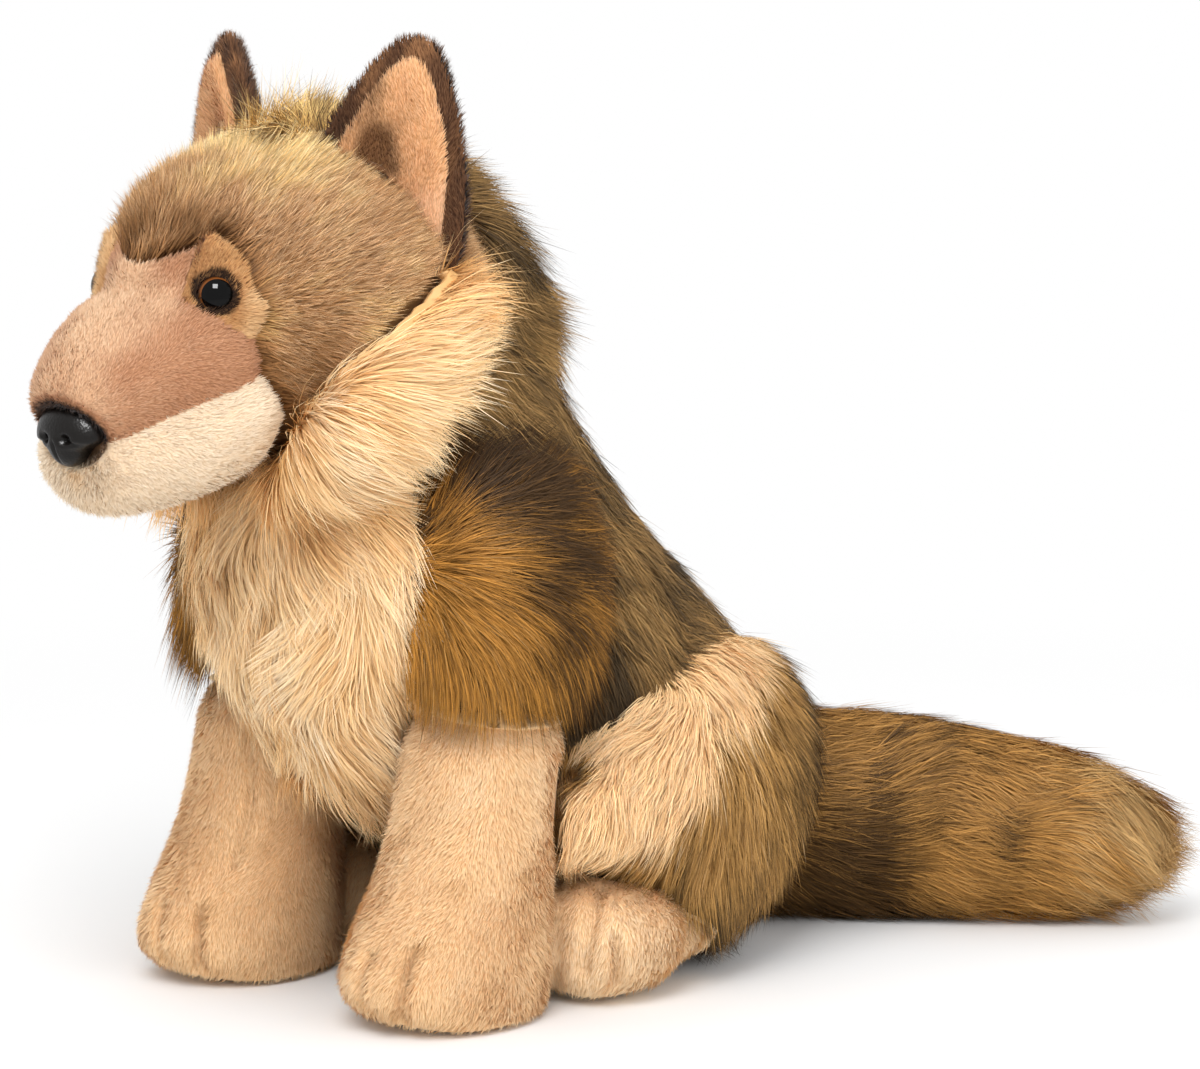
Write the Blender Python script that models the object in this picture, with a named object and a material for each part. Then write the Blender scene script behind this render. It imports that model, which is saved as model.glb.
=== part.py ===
"""A sitting plush wolf: sewn and stuffed pile fabric, with moulded eyes and nose.

The wolf faces -Y with its left side at +X, and it rests on paws, seat and tail at Z = 0.
Each stuffed form is a loft: rings set along a curved spine, then smoothed.
A piece that is sewn to another is cut by it, so the two meet along their seam.
"""

import math

import bmesh
import bpy
from mathutils import Matrix, Vector

# Clearances
SEAM_GAP = 0.0003
GROUND_DEPTH = 0.05
GROUND_SPAN = 1.2

# Trunk
TRUNK_WIDTH = 0.138
TRUNK_DEPTH = 0.129
SEAT_REACH = 0.158
SEAT_HEIGHT = 0.043
BELLY_REACH = 0.046
BELLY_HEIGHT = 0.050
NECK_REACH = 0.004
NECK_HEIGHT = 0.226

# Chest bib
BIB_WIDTH = 0.094
BIB_DEPTH = 0.050
BIB_TUCK = 0.035  # from the centre of the head down to the top of the bib
BIB_BOTTOM = 0.052
BIB_FORWARD = 0.014

# Head
HEAD_WIDTH = 0.112
HEAD_HEIGHT = 0.092
HEAD_LENGTH = 0.110
HEAD_FORWARD = 0.028
HEAD_CENTRE_HEIGHT = 0.211

# Muzzle, chin and nose
MUZZLE_WIDTH = 0.074
MUZZLE_HEIGHT = 0.048
MUZZLE_LENGTH = 0.051
MUZZLE_SET = 0.012  # from the centre of the head down to the root of the muzzle
MUZZLE_DROP = 0.019
MUZZLE_ARCH = 0.012
CHIN_WIDTH = 0.080
CHIN_HEIGHT = 0.043
CHIN_RISE = 0.022
CHIN_SAG = 0.006
NOSE_WIDTH = 0.022
NOSE_HEIGHT = 0.019
NOSE_LENGTH = 0.016
NOSTRIL_SIZE = 0.0052

# Eyes
EYE_DIAMETER = 0.0115
EYE_SINK = 0.0008
EYE_TURN = math.radians(29)
EYE_RISE = math.radians(8)
PATCH_WIDTH = 0.026
PATCH_ABOVE = 0.019
PATCH_BELOW = 0.014
PATCH_DEPTH = 0.007

# Ears
EAR_WIDTH = 0.061
EAR_HEIGHT = 0.081
EAR_DEPTH = 0.012
EAR_CUP = 0.011
EAR_SPACING = 0.0665
EAR_LEAN = 0.017
EAR_FORWARD = 0.012
EAR_TURN = math.radians(20)
LINING_WIDTH = 0.044
LINING_DEPTH = 0.008

# Ruff and nape
RUFF_WIDTH = 0.046
RUFF_DEPTH = 0.032
NAPE_WIDTH = 0.094
NAPE_DEPTH = 0.042

# Forelegs
LEG_SPACING = 0.090
LEG_WIDTH = 0.050
LEG_TOP = 0.122
PAW_LENGTH = 0.074
SHOULDER_WIDTH = 0.052
SHOULDER_DEPTH = 0.078
SHOULDER_TOP = 0.172
SHOULDER_HEM = 0.093

# Hind legs
THIGH_WIDTH = 0.066
THIGH_HEIGHT = 0.112
THIGH_SPACING = 0.112
THIGH_REACH = 0.140
THIGH_ARCH = 0.026
KNEE_REACH = 0.022
KNEE_HEIGHT = 0.059
HIND_PAW_WIDTH = 0.050
HIND_PAW_HEIGHT = 0.042
HIND_PAW_SPACING = 0.116
HIND_TOE_REACH = 0.029
HEEL_REACH = 0.094

# Tail
TAIL_WIDTH = 0.060
TAIL_HEIGHT = 0.071
TAIL_SWING = 0.129
TAIL_REACH = 0.246
TAIL_TIP_HEIGHT = 0.026

# Colours, as linear values
TAN_PILE = (0.72, 0.45, 0.22)
CREAM_PILE = (0.84, 0.62, 0.34)
OCHRE_PILE = (0.36, 0.21, 0.07)
OLIVE_PILE = (0.14, 0.11, 0.06)
BROWN_PILE = (0.30, 0.19, 0.11)
TAUPE_PILE = (0.46, 0.27, 0.17)
WHITE_PILE = (0.88, 0.74, 0.56)
PEACH_PILE = (0.58, 0.31, 0.17)
UMBER_PILE = (0.10, 0.04, 0.02)
BLACK_PLASTIC = (0.012, 0.010, 0.010)
EYE_PLASTIC = (0.030, 0.012, 0.006)

for old in list(bpy.data.objects):
    bpy.data.objects.remove(old)

wolf = bpy.data.objects.new("wolf", None)
bpy.context.collection.objects.link(wolf)


def material(name, colour, roughness=0.95):
    found = bpy.data.materials.get(name)
    if found:
        return found
    made = bpy.data.materials.new(name)
    made.use_nodes = True
    shader = made.node_tree.nodes["Principled BSDF"]
    shader.inputs["Base Color"].default_value = (*colour, 1)
    shader.inputs["Roughness"].default_value = roughness
    return made


def arc(start, middle, end):
    """The smooth curve from start to end that leans towards middle."""
    a, b, c = Vector(start), Vector(middle), Vector(end)
    return lambda t: a * (1 - t) ** 2 + b * 2 * t * (1 - t) + c * t * t


def place(name, bm, origin):
    """A named object with its own origin, held by the wolf's empty."""
    bmesh.ops.recalc_face_normals(bm, faces=bm.faces)
    bmesh.ops.translate(bm, verts=bm.verts, vec=-origin)
    mesh = bpy.data.meshes.new(name)
    bm.to_mesh(mesh)
    bm.free()
    mesh.shade_smooth()
    obj = bpy.data.objects.new(name, mesh)
    obj.location = origin
    obj.parent = wolf
    bpy.context.collection.objects.link(obj)
    return obj


def smooth(obj):
    rounding = obj.modifiers.new("rounding", "SUBSURF")
    rounding.levels = 1
    rounding.render_levels = 1
    facets = obj.modifiers.new("facets", "TRIANGULATE")
    facets.quad_method = "FIXED"


def loft(name, spine, profile, width, depth, across=(1, 0, 0), sides=10, cup=0):
    """Rings along the spine. Each profile row is a place on it, and shares of width and depth."""
    swell = 3 / (2 + math.cos(math.tau / sides))  # what smoothing takes off a ring
    step = 0.01
    bm = bmesh.new()
    rings = []
    for t, wide, deep in profile:
        along = (spine(t + step) - spine(t - step)).normalized()
        side = Vector(across) - along * along.dot(Vector(across))
        side.normalize()
        out = along.cross(side)
        half_width = width * wide * swell / 2
        half_depth = depth * deep * swell / 2
        frame = Matrix((side * half_width, out * half_depth, along)).transposed().to_4x4()
        frame.translation = spine(t)
        ring = bmesh.ops.create_circle(bm, segments=sides, radius=1, matrix=frame)["verts"]
        for vert in ring:
            share = (vert.co - spine(t)).dot(side) / half_width
            vert.co += out * cup * wide * share * share
        rings.append({edge for vert in ring for edge in vert.link_edges})
    for low, high in zip(rings, rings[1:]):
        bmesh.ops.bridge_loops(bm, edges=list(low | high))
    for end in (rings[0], rings[-1]):
        bmesh.ops.edgeloop_fill(bm, edges=list(end))
    obj = place(name, bm, spine(0.5))
    smooth(obj)
    return obj


def ball(name, centre, size, turn=Matrix.Identity(4), rings=8):
    """An oval of the given full sizes."""
    frame = Matrix.Translation(centre) @ turn @ Matrix.Diagonal((*(Vector(size) / 2), 1))
    bm = bmesh.new()
    bmesh.ops.create_uvsphere(bm, u_segments=rings * 2, v_segments=rings, radius=1, matrix=frame)
    return place(name, bm, Vector(centre))


def helper(obj):
    obj.hide_render = True
    obj.display_type = "WIRE"
    return obj


def cut(obj, cutter):
    chop = obj.modifiers.new(cutter.name, "BOOLEAN")
    chop.operation = "DIFFERENCE"
    chop.solver = "EXACT"
    chop.object = cutter


def seat_on_ground(obj):
    cut(obj, ground)


def room_for(obj):
    """The form of a piece before anything cuts it, grown by the seam gap."""
    name = "room_" + obj.name
    found = bpy.data.objects.get(name)
    if found:
        return found
    made = bpy.data.objects.new(name, obj.data)
    made.location = obj.location
    made.parent = wolf
    bpy.context.collection.objects.link(made)
    if "rounding" in obj.modifiers:
        smooth(made)
    grow = made.modifiers.new("gap", "DISPLACE")
    grow.strength = SEAM_GAP
    grow.mid_level = 0
    return helper(made)


def sew(obj, *hosts):
    """Cuts the piece where it would run into the pieces that it is sewn to."""
    for host in hosts:
        cut(obj, room_for(host))


def dress(obj, name, colour, roughness=0.95):
    obj.data.materials.append(material(name, colour, roughness))
    return obj


def mirrored(point, side):
    return (point[0] * side, point[1], point[2])


def on_head(out, back, up):
    """A place given in head widths, lengths and heights from the centre of the head."""
    return (HEAD_WIDTH * out, HEAD_LENGTH * back - HEAD_FORWARD, HEAD_HEIGHT * up + HEAD_CENTRE_HEIGHT)


bm = bmesh.new()
bmesh.ops.create_cube(bm, size=1, matrix=Matrix.Diagonal((GROUND_SPAN, GROUND_SPAN, GROUND_DEPTH, 1)))
ground = helper(place("ground", bm, Vector((0, 0, 0))))
ground.location.z = -GROUND_DEPTH / 2


def make_trunk():
    spine = arc(
        (0, SEAT_REACH, SEAT_HEIGHT),
        (0, BELLY_REACH, BELLY_HEIGHT),
        (0, NECK_REACH, NECK_HEIGHT),
    )
    profile = [
        (0.00, 0.42, 0.40),
        (0.08, 0.78, 0.76),
        (0.26, 1.00, 1.00),
        (0.46, 0.98, 1.00),
        (0.64, 0.88, 0.92),
        (0.80, 0.78, 0.80),
        (0.93, 0.66, 0.68),
        (1.00, 0.40, 0.42),
    ]
    return dress(loft("torso", spine, profile, TRUNK_WIDTH, TRUNK_DEPTH, sides=14), "olive_pile", OLIVE_PILE)


def make_bib():
    top = HEAD_CENTRE_HEIGHT - BIB_TUCK
    spine = arc(
        (0, -BIB_FORWARD + 0.004, top),
        (0, -BIB_FORWARD - 0.022, (top + BIB_BOTTOM) / 2),
        (0, 0.016, BIB_BOTTOM),
    )
    profile = [
        (0.00, 0.60, 0.50),
        (0.12, 0.92, 0.90),
        (0.35, 1.00, 1.00),
        (0.60, 0.78, 0.90),
        (0.82, 0.46, 0.64),
        (1.00, 0.14, 0.26),
    ]
    return dress(loft("chest_bib", spine, profile, BIB_WIDTH, BIB_DEPTH), "cream_pile", CREAM_PILE)


def make_head():
    back = Vector((0, HEAD_LENGTH / 2 - HEAD_FORWARD, HEAD_CENTRE_HEIGHT + 0.004))
    front = Vector((0, -HEAD_LENGTH / 2 - HEAD_FORWARD, HEAD_CENTRE_HEIGHT - 0.008))
    spine = arc(back, (back + front) / 2 + Vector((0, 0, 0.004)), front)
    profile = [
        (0.00, 0.42, 0.42),
        (0.10, 0.78, 0.80),
        (0.30, 1.00, 1.00),
        (0.48, 1.02, 1.02),
        (0.64, 0.88, 1.00),
        (0.80, 0.58, 0.84),
        (0.92, 0.36, 0.60),
        (1.00, 0.20, 0.36),
    ]
    return dress(loft("head", spine, profile, HEAD_WIDTH, HEAD_HEIGHT, sides=14), "brown_pile", BROWN_PILE)


def make_muzzle():
    root = Vector((0, -HEAD_FORWARD - HEAD_LENGTH * 0.24, HEAD_CENTRE_HEIGHT - MUZZLE_SET))
    tip = root + Vector((0, -MUZZLE_LENGTH, -MUZZLE_DROP))
    spine = arc(root, (root + tip) / 2 + Vector((0, 0, MUZZLE_ARCH)), tip)
    profile = [
        (0.00, 0.74, 0.96),
        (0.25, 0.96, 1.00),
        (0.50, 0.84, 0.96),
        (0.78, 0.62, 0.78),
        (0.94, 0.48, 0.60),
        (1.00, 0.30, 0.38),
    ]
    return dress(loft("muzzle", spine, profile, MUZZLE_WIDTH, MUZZLE_HEIGHT), "taupe_pile", TAUPE_PILE), tip


def make_chin(tip):
    front = tip + Vector((0, 0.002, -MUZZLE_HEIGHT * 0.25))
    root = front + Vector((0, MUZZLE_LENGTH, CHIN_RISE))
    spine = arc(root, (root + front) / 2 - Vector((0, 0, CHIN_SAG)), front)
    profile = [
        (0.00, 0.80, 0.90),
        (0.20, 1.00, 1.00),
        (0.50, 0.88, 0.92),
        (0.80, 0.64, 0.76),
        (0.95, 0.46, 0.60),
        (1.00, 0.26, 0.34),
    ]
    return dress(loft("chin", spine, profile, CHIN_WIDTH, CHIN_HEIGHT), "white_pile", WHITE_PILE)


def make_nose(tip):
    """A moulded pad: broad above, narrower below, with two nostrils at the front."""
    centre = tip + Vector((0, -0.001, -0.001))
    nose = ball("nose", centre, (NOSE_WIDTH, NOSE_LENGTH, NOSE_HEIGHT), rings=8)
    for vert in nose.data.vertices:
        drop = min(0, vert.co.z) / (NOSE_HEIGHT / 2)
        vert.co.x *= 1 + 0.34 * drop
    for side in (1, -1):
        spot = centre + Vector((side * NOSE_WIDTH * 0.25, -NOSE_LENGTH * 0.46, -NOSE_HEIGHT * 0.04))
        size = (NOSTRIL_SIZE, NOSTRIL_SIZE * 1.2, NOSTRIL_SIZE * 0.8)
        cut(nose, helper(ball(f"nostril_{side}", spot, size, rings=5)))
    return dress(nose, "black_plastic", BLACK_PLASTIC, 0.3)


def eye_seat(side):
    """Where the eye meets the head, and the way that it looks out from there."""
    bpy.context.view_layer.update()
    shape = room_for(head).evaluated_get(bpy.context.evaluated_depsgraph_get())
    way = Vector((side * math.sin(EYE_TURN), -math.cos(EYE_TURN), math.tan(EYE_RISE)))
    middle = Vector((0, -HEAD_FORWARD, HEAD_CENTRE_HEIGHT)) - shape.location
    hit, point, normal, _ = shape.ray_cast(middle, way.normalized())
    return point + shape.location, normal


def make_patch(name, side):
    """A velour triangle round the eye: its peak at the brow, its foot on the cheek."""
    point, out = eye_seat(side)
    up = (Vector((0, 0, 1)) - out * out.z).normalized()
    across = up.cross(out) * side
    low = point - up * PATCH_BELOW + across * (side * PATCH_WIDTH * 0.12)
    high = point + up * PATCH_ABOVE - across * (side * PATCH_WIDTH * 0.10)
    spine = arc(low, point + across * (side * PATCH_WIDTH * 0.10), high)
    profile = [
        (0.00, 0.34, 0.50),
        (0.14, 0.74, 0.86),
        (0.36, 1.00, 1.00),
        (0.62, 0.66, 0.90),
        (0.86, 0.32, 0.70),
        (1.00, 0.16, 0.40),
    ]
    patch = loft("eye_patch_" + name, spine, profile, PATCH_WIDTH, PATCH_DEPTH, across)
    return dress(patch, "tan_pile", TAN_PILE)


def make_eye(name, side):
    point, out = eye_seat(side)
    eye = ball("eye_" + name, point - out * EYE_SINK, (EYE_DIAMETER,) * 3, rings=8)
    return dress(eye, "eye_plastic", EYE_PLASTIC, 0.1)


def ear_frame(side):
    outward = Vector((side * math.sin(EAR_TURN), -math.cos(EAR_TURN), 0))
    across = Vector((math.cos(EAR_TURN), side * math.sin(EAR_TURN), 0))
    base = Vector((side * (EAR_SPACING - EAR_LEAN) / 2, -EAR_FORWARD, HEAD_CENTRE_HEIGHT - HEAD_HEIGHT * 0.03))
    tip = base + Vector((side * EAR_LEAN, 0.006, EAR_HEIGHT))
    return outward, across, base, tip


def make_ear_back(name, side):
    outward, across, base, tip = ear_frame(side)
    spine = arc(base, (base + tip) / 2 - outward * 0.004, tip)
    profile = [
        (0.00, 0.92, 1.00),
        (0.32, 1.00, 1.00),
        (0.56, 0.86, 0.92),
        (0.80, 0.58, 0.82),
        (0.95, 0.30, 0.64),
        (1.00, 0.16, 0.44),
    ]
    ear = loft("ear_back_" + name, spine, profile, EAR_WIDTH, EAR_DEPTH, across, sides=8, cup=-EAR_CUP)
    return dress(ear, "umber_pile", UMBER_PILE)


def make_ear_lining(name, side):
    outward, across, base, tip = ear_frame(side)
    forward = outward * (EAR_DEPTH * 0.46)
    low, high = base + forward, tip + forward - Vector((0, 0, 0.006))
    spine = arc(low, (low + high) / 2 - outward * 0.004, high)
    profile = [
        (0.00, 0.90, 1.00),
        (0.32, 1.00, 1.00),
        (0.58, 0.82, 0.90),
        (0.82, 0.52, 0.80),
        (1.00, 0.16, 0.40),
    ]
    lining = loft("ear_lining_" + name, spine, profile, LINING_WIDTH, LINING_DEPTH, across, sides=8, cup=-EAR_CUP * 0.6)
    return dress(lining, "peach_pile", PEACH_PILE)


def make_ruff(name, side):
    """It hangs from beside the ear, round the cheek, to meet its pair under the chin."""
    spine = arc(
        mirrored(on_head(0.43, 0.21, 0.14), side),
        mirrored(on_head(0.61, -0.01, -0.24), side),
        mirrored(on_head(0.16, -0.16, -0.60), side),
    )
    profile = [
        (0.00, 0.34, 0.50),
        (0.15, 0.58, 0.90),
        (0.45, 0.96, 1.00),
        (0.75, 1.20, 1.00),
        (1.00, 0.64, 0.50),
    ]
    ruff = loft("cheek_ruff_" + name, spine, profile, RUFF_WIDTH, RUFF_DEPTH, (0, 1, 0))
    return dress(ruff, "cream_pile", CREAM_PILE)


def make_nape():
    spine = arc(
        on_head(0, -0.055, 0.48),
        on_head(0, 0.66, 0.53),
        on_head(0, 0.78, -0.60),
    )
    profile = [
        (0.00, 0.30, 0.40),
        (0.15, 0.52, 0.80),
        (0.40, 0.86, 1.00),
        (0.70, 1.00, 1.00),
        (1.00, 0.60, 0.50),
    ]
    return dress(loft("nape", spine, profile, NAPE_WIDTH, NAPE_DEPTH), "olive_pile", OLIVE_PILE)


def make_shoulder(name, side):
    x = LEG_SPACING / 2
    spine = arc(
        mirrored((x - 0.008, 0.020, SHOULDER_TOP), side),
        mirrored((x + 0.010, 0.022, (SHOULDER_TOP + SHOULDER_HEM) / 2), side),
        mirrored((x + 0.001, 0.014, SHOULDER_HEM), side),
    )
    profile = [
        (0.00, 0.40, 0.46),
        (0.15, 0.72, 0.80),
        (0.45, 1.00, 1.00),
        (0.80, 1.00, 0.90),
        (1.00, 0.84, 0.70),
    ]
    shoulder = loft("shoulder_" + name, spine, profile, SHOULDER_WIDTH, SHOULDER_DEPTH)
    return dress(shoulder, "ochre_pile", OCHRE_PILE)


def make_foreleg(name, side):
    x = LEG_SPACING / 2
    spine = arc(
        mirrored((x, 0.018, LEG_TOP), side),
        mirrored((x, 0.016, LEG_TOP * 0.45), side),
        mirrored((x, -0.009, -0.006), side),
    )
    foot = PAW_LENGTH / LEG_WIDTH
    profile = [
        (0.00, 0.70, 0.70),
        (0.12, 0.94, 0.94),
        (0.40, 0.94, 0.98),
        (0.62, 0.98, 1.06),
        (0.78, 1.06, foot * 0.92),
        (0.90, 1.08, foot),
        (1.00, 0.92, foot * 0.90),
    ]
    leg = loft("front_leg_" + name, spine, profile, LEG_WIDTH, LEG_WIDTH)
    return dress(leg, "tan_pile", TAN_PILE)


def make_thigh(name, side):
    x = THIGH_SPACING / 2
    spine = arc(
        mirrored((x - 0.010, THIGH_REACH, SEAT_HEIGHT), side),
        mirrored((x, (THIGH_REACH + KNEE_REACH) / 2 + 0.006, SEAT_HEIGHT + THIGH_ARCH), side),
        mirrored((x + 0.008, KNEE_REACH, KNEE_HEIGHT), side),
    )
    profile = [
        (0.00, 0.50, 0.50),
        (0.14, 0.84, 0.84),
        (0.38, 1.00, 0.95),
        (0.58, 0.98, 0.80),
        (0.74, 0.90, 0.45),
        (0.92, 0.72, 0.34),
        (1.00, 0.40, 0.18),
    ]
    thigh = loft("thigh_" + name, spine, profile, THIGH_WIDTH, THIGH_HEIGHT)
    return dress(thigh, "ochre_pile", OCHRE_PILE)


def make_hind_paw(name, side):
    x = HIND_PAW_SPACING / 2
    mid = HIND_PAW_HEIGHT / 2 - 0.002
    spine = arc(
        mirrored((x, HEEL_REACH, mid), side),
        mirrored((x + 0.002, (HEEL_REACH + HIND_TOE_REACH) / 2, mid), side),
        mirrored((x, HIND_TOE_REACH, mid), side),
    )
    profile = [
        (0.00, 0.50, 0.50),
        (0.15, 0.80, 0.80),
        (0.45, 0.90, 0.92),
        (0.76, 1.00, 1.00),
        (0.93, 0.80, 0.80),
        (1.00, 0.44, 0.44),
    ]
    paw = loft("hind_paw_" + name, spine, profile, HIND_PAW_WIDTH, HIND_PAW_HEIGHT)
    return dress(paw, "tan_pile", TAN_PILE)


def make_tail():
    spine = arc(
        (0, SEAT_REACH - 0.024, TAIL_HEIGHT * 0.52),
        (TAIL_SWING * 0.16, SEAT_REACH + 0.034, TAIL_HEIGHT * 0.46),
        (TAIL_SWING, TAIL_REACH, TAIL_TIP_HEIGHT),
    )
    profile = [
        (0.00, 0.70, 0.70),
        (0.20, 0.92, 0.92),
        (0.45, 1.00, 1.00),
        (0.70, 0.94, 0.92),
        (0.90, 0.72, 0.72),
        (1.00, 0.40, 0.40),
    ]
    return dress(loft("tail", spine, profile, TAIL_WIDTH, TAIL_HEIGHT, sides=12), "ochre_pile", OCHRE_PILE)


torso = make_trunk()
seat_on_ground(torso)
bib = make_bib()
head = make_head()
nape = make_nape()
muzzle, muzzle_tip = make_muzzle()
chin = make_chin(muzzle_tip)
nose = make_nose(muzzle_tip)
tail = make_tail()
sew(head, torso)
sew(nape, torso, head)
sew(muzzle, head)
sew(chin, head, muzzle, torso)
sew(nose, muzzle, chin)
sew(bib, torso, head, chin)

thighs = []
for word, hand in (("left", 1), ("right", -1)):
    shoulder = make_shoulder(word, hand)
    leg = make_foreleg(word, hand)
    thigh = make_thigh(word, hand)
    paw = make_hind_paw(word, hand)
    ruff = make_ruff(word, hand)
    patch = make_patch(word, hand)
    eye = make_eye(word, hand)
    ear = make_ear_back(word, hand)
    lining = make_ear_lining(word, hand)
    sew(shoulder, torso)
    sew(leg, torso, shoulder)
    seat_on_ground(leg)
    sew(thigh, torso, leg)
    seat_on_ground(thigh)
    sew(paw, torso, thigh, leg)
    seat_on_ground(paw)
    sew(ruff, head, torso, chin, nape, shoulder, ear, lining)
    sew(patch, head, muzzle)
    sew(eye, head, patch, muzzle)
    sew(ear, head, nape)
    sew(lining, head, ear)
    sew(bib, shoulder, leg, ruff)
    thighs.append(thigh)
sew(tail, torso, *thighs)
seat_on_ground(tail)


def stand_on_origin():
    """Moves the whole wolf so that its box stands centred on the origin."""
    bpy.context.view_layer.update()
    graph = bpy.context.evaluated_depsgraph_get()
    corners = []
    for obj in bpy.data.objects:
        if obj.type == "MESH" and not obj.hide_render:
            shape = obj.evaluated_get(graph)
            corners += [shape.matrix_world @ vert.co for vert in shape.data.vertices]
    for axis in (0, 1):
        low = min(corner[axis] for corner in corners)
        high = max(corner[axis] for corner in corners)
        wolf.location[axis] -= (low + high) / 2


stand_on_origin()
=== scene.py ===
import math

import bmesh
import bpy
import numpy as np
from mathutils import Matrix, Vector
from mathutils.bvhtree import BVHTree
from mathutils.kdtree import KDTree


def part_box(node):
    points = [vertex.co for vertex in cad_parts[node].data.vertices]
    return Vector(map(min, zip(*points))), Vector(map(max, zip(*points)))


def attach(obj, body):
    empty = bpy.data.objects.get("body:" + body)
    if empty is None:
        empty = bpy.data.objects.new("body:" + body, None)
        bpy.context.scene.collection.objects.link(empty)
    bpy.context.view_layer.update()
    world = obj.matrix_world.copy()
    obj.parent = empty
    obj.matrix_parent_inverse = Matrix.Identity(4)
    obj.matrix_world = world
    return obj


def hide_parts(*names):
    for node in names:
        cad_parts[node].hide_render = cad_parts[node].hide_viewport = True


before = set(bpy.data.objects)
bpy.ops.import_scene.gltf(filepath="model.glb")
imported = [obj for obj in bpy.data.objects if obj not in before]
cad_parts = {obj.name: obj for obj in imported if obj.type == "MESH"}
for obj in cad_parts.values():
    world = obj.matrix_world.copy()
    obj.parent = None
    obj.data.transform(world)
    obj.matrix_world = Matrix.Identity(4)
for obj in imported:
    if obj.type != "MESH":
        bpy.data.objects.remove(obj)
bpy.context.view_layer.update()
mm = 0.001


def boxCentre(node):
    low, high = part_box(node)
    return (Vector(low) + Vector(high)) / 2


# The wolf's own origin: on the ground, on its midline, level with the middle of the forelegs
noseAhead = 108.73 * mm
home = Vector((boxCentre("nose").x, boxCentre("nose").y + noseAhead, 0))
homeRow = np.array(home)


def at(x, y, z):
    # a place given in millimetres from the wolf's own origin
    return home + Vector((x, y, z)) * mm


def local(points):
    # places in millimetres from the wolf's own origin
    return (points - homeRow) / mm


# The middle of the moulded nose, the reach of its bed in the pile, and the middle of the left eye
noseSpot = (0, -104.6, 179.3)
noseBed = (12, 8.5, 9.4)
eyeSpot = (23.2, -70.2, 217.8)


def say(words):
    print("wolf:", words)


def meshFrom(bm, name):
    mesh = bpy.data.meshes.new(name)
    bm.to_mesh(mesh)
    bm.free()
    return mesh


def newObject(name, mesh):
    obj = bpy.data.objects.new(name, mesh)
    bpy.context.scene.collection.objects.link(obj)
    return obj


def dress(obj, material):
    obj.data.materials.append(material)
    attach(obj, "root")
    return obj


def aim(obj, place, target):
    obj.location = at(*place)
    obj.rotation_euler = (at(*target) - at(*place)).to_track_quat("-Z", "Y").to_euler()


# Node helpers for the materials


def linear(code):
    # an sRGB hex value as linear light
    channels = [int(code[i : i + 2], 16) / 255 for i in (1, 3, 5)]
    return tuple(c / 12.92 if c <= 0.04045 else ((c + 0.055) / 1.055) ** 2.4 for c in channels) + (1,)


def newMaterial(name):
    made = bpy.data.materials.new(name)
    made.use_nodes = True
    return made, made.node_tree, made.node_tree.nodes["Principled BSDF"]


def addNode(tree, kind, settings=None, links=None):
    # one node, with its settings and what feeds its sockets
    node = tree.nodes.new(kind)
    for key, value in (settings or {}).items():
        if isinstance(key, int):
            node.inputs[key].default_value = value
        else:
            setattr(node, key, value)
    for socket, source in (links or {}).items():
        if isinstance(source, (float, int, tuple)):
            node.inputs[socket].default_value = source
        else:
            tree.links.new(source, node.inputs[socket])
    return node


def mixColour(tree, factor, first, second, blend="MIX"):
    settings = {"data_type": "RGBA", "blend_type": blend}
    return addNode(tree, "ShaderNodeMix", settings, {0: factor, 6: first, 7: second}).outputs[2]


def ease(tree, value, low, high, outLow=0.0, outHigh=1.0):
    settings = {"interpolation_type": "SMOOTHSTEP", 1: low, 2: high, 3: outLow, 4: outHigh}
    return addNode(tree, "ShaderNodeMapRange", settings, {0: value}).outputs[0]


def maths(tree, operation, first, second=0.0):
    return addNode(tree, "ShaderNodeMath", {"operation": operation}, {0: first, 1: second}).outputs[0]


def pileMaterial(name, spec):
    # Dyed polyester pile: matt fibres, darker towards the backing as painted shade deep in the pile, some
    # with tips dyed dark
    made, tree, shader = newMaterial(name)
    strand = addNode(tree, "ShaderNodeAttribute", {"attribute_name": "strand"})
    split = addNode(tree, "ShaderNodeSeparateXYZ", links={0: strand.outputs["Vector"]})
    along, chance, zone = split.outputs
    tones = []
    for root, body, tip, share in (spec["main"], spec["other"], spec["third"]):
        shaft = mixColour(tree, ease(tree, along, 0.0, 0.55), linear(root), linear(body))
        dyed = ease(tree, chance, share - 0.1, share + 0.1, 1.0, 0.0)
        reach = maths(tree, "MULTIPLY", ease(tree, along, spec["tipStart"], spec["tipEnd"]), dyed)
        tones.append(mixColour(tree, reach, shaft, linear(tip)))
    colour = mixColour(tree, ease(tree, zone, 0.0, 1.0), tones[0], tones[1])
    colour = mixColour(tree, ease(tree, zone, -1.0, 0.0, 1.0, 0.0), colour, tones[2])
    scatter = maths(tree, "FRACT", maths(tree, "MULTIPLY", chance, 23.7))
    shade = ease(tree, scatter, 0.0, 1.0, 1 - spec["spread"], 1 + spec["spread"])
    grey = addNode(tree, "ShaderNodeCombineColor", links={0: shade, 1: shade, 2: shade})
    tree.links.new(mixColour(tree, 1.0, colour, grey.outputs[0], "MULTIPLY"), shader.inputs["Base Color"])
    shader.inputs["Roughness"].default_value = spec["roughness"]
    shader.inputs["Specular IOR Level"].default_value = spec["gloss"]
    shader.inputs["Sheen Weight"].default_value = spec["sheen"]
    shader.inputs["Sheen Roughness"].default_value = 0.5
    return made
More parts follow.
